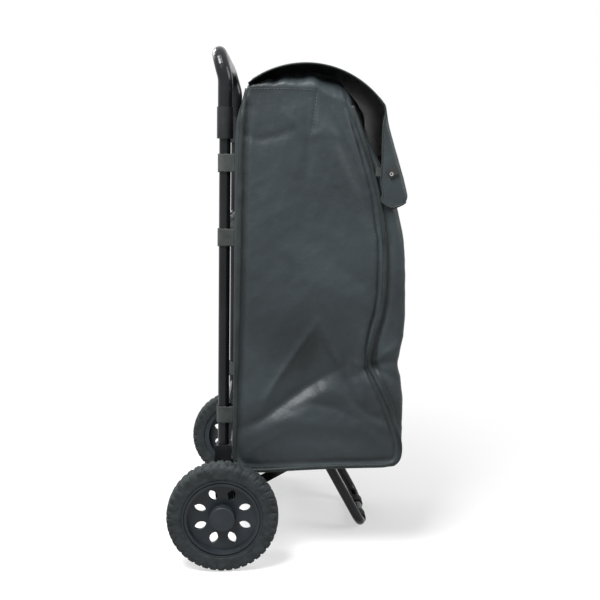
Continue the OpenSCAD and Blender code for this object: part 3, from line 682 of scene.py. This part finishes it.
# %% Stitches along a line
def stitches(name, path, out, pitch=4.2, length=2.9, radius=0.36):
    """Spindles along path: point = middle + length * t * along + radius * profile(t) * round."""
    path = even_steps(path, max(2, int(np.linalg.norm(np.diff(path, axis=0), axis=1).sum() / pitch)))
    along = np.gradient(path, axis=0)
    along /= np.linalg.norm(along, axis=1)[:, None]
    out = np.broadcast_to(np.asarray(out, float), path.shape)
    side = np.cross(along, out)
    a = np.linspace(0, 2 * np.pi, 5, endpoint=False)
    t = np.array([-0.5, -0.3, 0.3, 0.5])
    fat = np.array([0.15, 1.0, 1.0, 0.15])
    ring = np.cos(a)[None, :, None] * side[:, None, None] + np.sin(a)[None, :, None] * out[:, None, None]
    t, fat = t[None, :, None, None], fat[None, :, None, None]
    pts = path[:, None, None] + length * t * along[:, None, None] + radius * fat * ring
    n = len(path)
    quads, _ = grid_faces(4, 5, False, True)
    caps = np.array([[4, 3, 2, 1, 0], [15, 16, 17, 18, 19]])
    step = np.arange(n)[:, None, None] * 20
    mesh = bpy.data.meshes.new(name)
    sides = (quads[None] + step).reshape(-1, 4).tolist()
    ends = (caps[None] + step).reshape(-1, 5).tolist()
    mesh.from_pydata(to_frame(pts.reshape(-1, 3)), [], sides + ends)
    mesh.polygons.foreach_set("use_smooth", np.ones(len(mesh.polygons), bool))
    made = bpy.data.objects.new(name, mesh)
    bpy.context.scene.collection.objects.link(made)
    print(f"{name}: {n} stitches")
    return dress(made, "thread")


hem_line = smooth_line([(48, 697), (90, 697), (134, 695)], 60)
panel_line = smooth_line([(139, 694), (135, 664), (131, 636)], 40)
for side, tag in ((-1, "right"), (1, "left")):
    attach(stitches(f"hem_stitches_{tag}", on_side(hem_line, side, 0.15), (0, side, 0)), "frame")
    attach(stitches(f"panel_stitches_{tag}", on_side(panel_line, side, 0.15), (0, side, 0)), "frame")

# %% [markdown]
# ## The flap
# The flap is one sheet of the same nylon, sewn along the back of the mouth. It arches over the
# collar and falls down the front, where it turns round the corners into two short wings that
# the closures hold.

# %% Flap surface
FLAP_HALF = 167.3
ARCH_STEPS = 60
SEWN_EDGE, FRONT_CORNER = (42.573, 705.1), (231.958, 675.537)
sewn_angle, corner_angle = [math.atan2(z - ARCH_Z, x - ARCH_X) for x, z in (SEWN_EDGE, FRONT_CORNER)]
arch_angle = np.linspace(sewn_angle, corner_angle, ARCH_STEPS)
arch_ring = np.stack([np.cos(arch_angle), np.sin(arch_angle)], 1)
arch_line = np.array([ARCH_X, ARCH_Z]) + (ARCH_R - 1) * arch_ring
drop_line = smooth_line([tuple(arch_line[-1]), (235.2, 664), (240.4, 641), (253, 599), (265.5, 556),
    (266.5, 547), (264.5, 541)], 56)
flap_line = np.vstack([arch_line[:-1], drop_line])
ROWS = len(flap_line)
WING_HEIGHT, WING_REACH = [543, 565, 600, 641, 660, 672], [37, 36, 24, 11.5, 5, 0]
drop_reach = np.interp(drop_line[:, 1], WING_HEIGHT, WING_REACH)
wing_reach = np.concatenate([np.zeros(ARCH_STEPS - 1), drop_reach])


def flap_surface():
    """Columns run across the flap. |distance from the middle| up to the corner is flat, then
    comes a quarter turn of radius 7, then the wing, which runs back along -x."""
    r = 7.0
    half = FLAP_HALF + np.maximum(wing_reach - 0.6 * r, 0)
    t = np.linspace(-1, 1, 171)
    dist = np.abs(t)[None] * half[:, None]
    bend_r = np.minimum(r, wing_reach)[:, None] + 1e-6
    flat = FLAP_HALF - bend_r
    turn = np.clip((dist - flat) / bend_r, 0, np.pi / 2)
    turn = np.where(wing_reach[:, None] > 0.5, turn, 0)
    beyond = np.clip(dist - flat - bend_r * np.pi / 2, 0, None) * (wing_reach[:, None] > 0.5)
    y = np.where(turn > 0, flat + bend_r * np.sin(turn), dist)
    back = bend_r * (1 - np.cos(turn)) * (turn > 0) + beyond
    x = flap_line[:, :1] - back
    q = np.clip(back / np.maximum(wing_reach[:, None], 1), 0, 1)
    low = smoothstep(flap_line[:, 1], 641, 548)[:, None]
    z = flap_line[:, 1:] - 8.0 * np.sin(np.pi * q * 0.8) * low
    z = z + 22.0 * np.clip(q - 0.45, 0, 1) ** 1.6 * low
    return x, np.sign(t)[None] * y, z, q


fx, fy, fz, fq = flap_surface()
sag = np.linspace(0, 1, ROWS)[:, None]
ripple = 0.7 * crumple(fy, sag * 350, 51, 60) * smoothstep(sag, 0.03, 0.12)
ridge = fold(fy, sag * 350, [(-150, 230), (-60, 262), (40, 250)], 1.0, 14, 0.4)
ridge = ridge + fold(fy, sag * 350, [(20, 300), (90, 270), (150, 240)], 1.0, 12, 0.5)
fx = fx + (ripple + ridge) * np.cos(np.clip(sag * 3 - 1.2, 0, 1) * np.pi / 2 - np.pi / 2) * (fq < 0.02)
fz = fz + ripple * np.clip(1 - sag * 1.8, 0, 1) * 0.8
flap_grid = np.stack([fx, fy, fz], -1)
flap = dress(grid_piece("flap_sheet", flap_grid, flip=True), "bag_nylon")
# The inner face of the flap's wall gets the darker finish, which is painted shade under the flap.
flap.data.materials.append(finishes["flap_lining"])
wall_mod = thicken(flap, 0.0010, 0.0).modifiers["wall"]
wall_mod.material_offset = 1

# %% Flap binding
rim_path = np.vstack([flap_grid[2:-1, 0], flap_grid[-1, :], flap_grid[-2:1:-1, -1]])
rim_path = even_steps(rim_path, 520)
middle = np.array([ARCH_X, 0, ARCH_Z])
outward = rim_path - middle
outward[:, 1] *= np.where(np.abs(rim_path[:, 0] - ARCH_X) > 100, 2.0, 0.05)
rings = end_capped(sweep(rim_path, outward, oval(1.7, 1.25, 8)))
flap_binding = dress(grid_piece("flap_binding", rings, wrap_cols=True), "binding")
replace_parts(flap, "flap_top", "flap_front")
corner_start = tuple(to_frame((ARCH_X + 96, 0, 694)))
corner_end = tuple(to_frame((240.0, 0, 655)))
for piece in (flap, flap_binding):
    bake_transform(piece)

# %% [markdown]
# ## Webbing loops
# Six loops of webbing hold the bag to the uprights. Each is a flat tape that comes off the
# bag's back, passes round the tube and goes back again.

# %% Strap loops
def strap_piece(node):
    """A tape carried round the tube in plan: straight, a half turn of radius r, straight."""
    low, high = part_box(node)
    mm = lambda v: (np.array(v) - np.array([AXLE_X, 0, 0])) * 1000
    a, b = mm(low), mm(high)
    y_mid, r = (a[1] + b[1]) / 2, (b[1] - a[1]) / 2 - 0.75
    x_back = a[0] + r + 0.75
    turn = np.radians(np.linspace(90, 270, 28))
    plan = np.vstack([np.stack([np.linspace(b[0] + 1.0, x_back, 10)[:-1], np.full(9, r)], 1),
                      np.stack([x_back + r * np.cos(turn), r * np.sin(turn)], 1),
                      np.stack([np.linspace(x_back, b[0] + 1.0, 10)[1:], np.full(9, -r)], 1)])
    v = np.linspace(0, 1, 15)
    height = a[2] + 0.5 + (b[2] - a[2] - 1.0) * v
    edge = 0.35 * np.sin(np.arange(len(plan)) * 0.9) + 0.2 * np.sin(np.arange(len(plan)) * 2.3)
    grid = np.zeros((len(v), len(plan), 3))
    lean = (height - height.mean()) * math.tan(math.radians(1.2))
    grid[..., 0] = plan[None, :, 0] + lean[:, None]
    grid[..., 1] = y_mid + plan[None, :, 1]
    grid[..., 2] = height[:, None] + edge[None] * (2 * v[:, None] - 1)
    made = thicken(grid_piece(node + "_tape", grid), 0.0013)
    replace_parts(dress(made, "webbing"), node)
    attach(made, "frame")


for level in ("upper", "middle", "lower"):
    for tag in ("left", "right"):
        strap_piece(f"strap_{level}_{tag}")

# %% [markdown]
# ## Treaded tyres
# The tyres are solid foam rubber. One profile is turned about the axle, and the tread is cut
# into it in the same step: at each angle the outer points drop into a groove or stay up.

# %% Tyres
WHEEL_R, HALF_TRACK, TREAD_BLOCKS, STEPS_PER_BLOCK = 82.5, 185.5, 42, 9


def tyre_piece(node, side, body):
    """radius(angle, y) = profile radius - groove depth where the tread pattern is open."""
    knots = [(59.5, -13.6), (62, -14.6), (68, -14.9), (74, -14.9), (77.6, -14.6), (80.4, -12.8),
        (81.8, -9.5), (82.3, -5), (82.4, 0),
             (82.3, 5), (81.8, 9.5), (80.4, 12.8), (77.6, 14.6), (74, 14.9), (68, 14.9), (62,
                 14.6), (59.5, 13.6)]
    profile = smooth_line(knots, 45)
    inner = np.stack([np.full(5, 59.5), np.linspace(13.6, -13.6, 7)[1:-1]], 1)
    profile = np.vstack([profile, inner])
    n = TREAD_BLOCKS * STEPS_PER_BLOCK
    angle = np.linspace(0, 2 * np.pi, n, endpoint=False)[None]
    r, y = profile[:, :1], profile[:, 1:]
    phase = angle * TREAD_BLOCKS / (2 * np.pi) + 0.5 * (y > 0) + 0.16 * np.abs(y) / 7
    gap = smoothstep(np.abs((phase % 1) - 0.5), 0.30, 0.40)
    depth = 2.1 * smoothstep(np.abs(y), 2.4, 4.4) * smoothstep(r, 74.5, 79)
    rib = 0.9 * np.exp(-((np.abs(y) - 3.4) / 1.1) ** 2) * smoothstep(r, 78, 80)
    radius = r - depth * gap - rib
    width = y - np.sign(y) * 0.7 * gap * smoothstep(r, 72, 76) * (1 - smoothstep(r, 79, 81))
    across = np.broadcast_to(side * HALF_TRACK + width, radius.shape)
    pts = np.stack([radius * np.sin(angle), across, WHEEL_R + radius * np.cos(angle)], -1)
    made = grid_piece(node + "_tread", pts, wrap_rows=True, wrap_cols=True, flip=True)
    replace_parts(dress(made, "tyre"), node)
    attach(made, body)


tyre_piece("tyre_left", 1, "wheel_left")
tyre_piece("tyre_right", -1, "wheel_right")

# %% [markdown]
# ## Floor, light and camera
# A pale floor and a white surround, with three soft lamps: a strong one high above the
# trolley's right side, and weaker ones before the bag and behind the frame. The camera stands
# a little below the bag's top and looks slightly down at the trolley's side.

# %% Rays that see the background
def seen_by(tree):
    """One where the camera, a reflection or a clear part sees this surface, else zero."""
    rays = tree.nodes.new("ShaderNodeLightPath").outputs
    mirrored = math_node(tree, "MAXIMUM", rays["Is Glossy Ray"], rays["Is Transmission Ray"])
    return math_node(tree, "MAXIMUM", rays["Is Camera Ray"], mirrored)


# %% Floor
floor_mesh = bpy.data.meshes.new("studio_floor")
floor_mesh.from_pydata([(-8, -8, 0), (8, -8, 0), (8, 8, 0), (-8, 8, 0)], [], [(0, 1, 2, 3)])
floor = bpy.data.objects.new("studio_floor", floor_mesh)
bpy.context.scene.collection.objects.link(floor)
floor_finish = bpy.data.materials.new("studio_white")
floor_finish.use_nodes = True
floor_tree = floor_finish.node_tree
floor_shader = floor_tree.nodes["Principled BSDF"]
floor_shader.inputs["Roughness"].default_value = 0.95
floor_glow = floor_tree.nodes.new("ShaderNodeEmission")
away = floor_tree.nodes.new("ShaderNodeVectorMath")
away.operation = "LENGTH"
floor_tree.links.new(floor_tree.nodes.new("ShaderNodeTexCoord").outputs["Object"], away.inputs[0])
fade = floor_tree.nodes.new("ShaderNodeMapRange")
fade.inputs[1].default_value, fade.inputs[2].default_value = 0.15, 0.75
fade.inputs[3].default_value, fade.inputs[4].default_value = 0.55, 1.0
floor_tree.links.new(away.outputs["Value"], fade.inputs[0])
seen_floor = math_node(floor_tree, "MULTIPLY", fade.outputs[0], seen_by(floor_tree))
bounce = floor_tree.nodes.new("ShaderNodeMapRange")
bounce.inputs[3].default_value, bounce.inputs[4].default_value = 0.3, 0.9
floor_tree.links.new(seen_by(floor_tree), bounce.inputs[0])
floor_tree.links.new(bounce.outputs[0], floor_shader.inputs["Base Color"])
both = floor_tree.nodes.new("ShaderNodeMixShader")
floor_tree.links.new(seen_floor, both.inputs[0])
floor_tree.links.new(floor_shader.outputs[0], both.inputs[1])
floor_tree.links.new(floor_glow.outputs[0], both.inputs[2])
floor_tree.links.new(both.outputs[0], floor_tree.nodes["Material Output"].inputs["Surface"])
floor_mesh.materials.append(floor_finish)

# %% World: soft white light, and plain white where the camera or a glossy surface sees it
world = bpy.data.worlds.new("studio")
bpy.context.scene.world = world
world.use_nodes = True
sky = world.node_tree.nodes["Background"]
sky.inputs["Color"].default_value = (1, 1, 1, 1)
strength = world.node_tree.nodes.new("ShaderNodeMapRange")
strength.inputs[3].default_value, strength.inputs[4].default_value = 0.14, 1.0
world.node_tree.links.new(seen_by(world.node_tree), strength.inputs[0])
world.node_tree.links.new(strength.outputs[0], sky.inputs["Strength"])


# %% Lamps and camera
def lamp(name, place, target, size, power):
    """A square soft lamp that faces target."""
    data = bpy.data.lights.new(name, "AREA")
    data.size, data.energy = size, power
    made = bpy.data.objects.new(name, data)
    bpy.context.scene.collection.objects.link(made)
    made.location = place
    aim = np.array(target) - np.array(place)
    made.rotation_euler = (math.acos(-aim[2] / np.linalg.norm(aim)), 0, math.atan2(-aim[0], aim[1]))
    return made


lamp("key", (-0.6, -0.95, 1.95), (0, 0, 0.5), 0.8, 84)
lamp("side", (2.2, -0.8, 1.4), (0.05, 0, 0.5), 1.0, 30)
lamp("back", (-1.6, 1.8, 2.0), (0, 0, 0.4), 1.2, 40)

camera = bpy.data.objects.new("camera", bpy.data.cameras.new("camera"))
bpy.context.scene.collection.objects.link(camera)
camera.location = (-0.0037, -1.3348, 0.5998)
camera.rotation_euler = (math.radians(90 - 9.624), 0, math.radians(-1.194))
camera.data.lens, camera.data.sensor_width = 49.51, 36
bpy.context.scene.camera = camera
bpy.context.scene.view_settings.view_transform = "Standard"
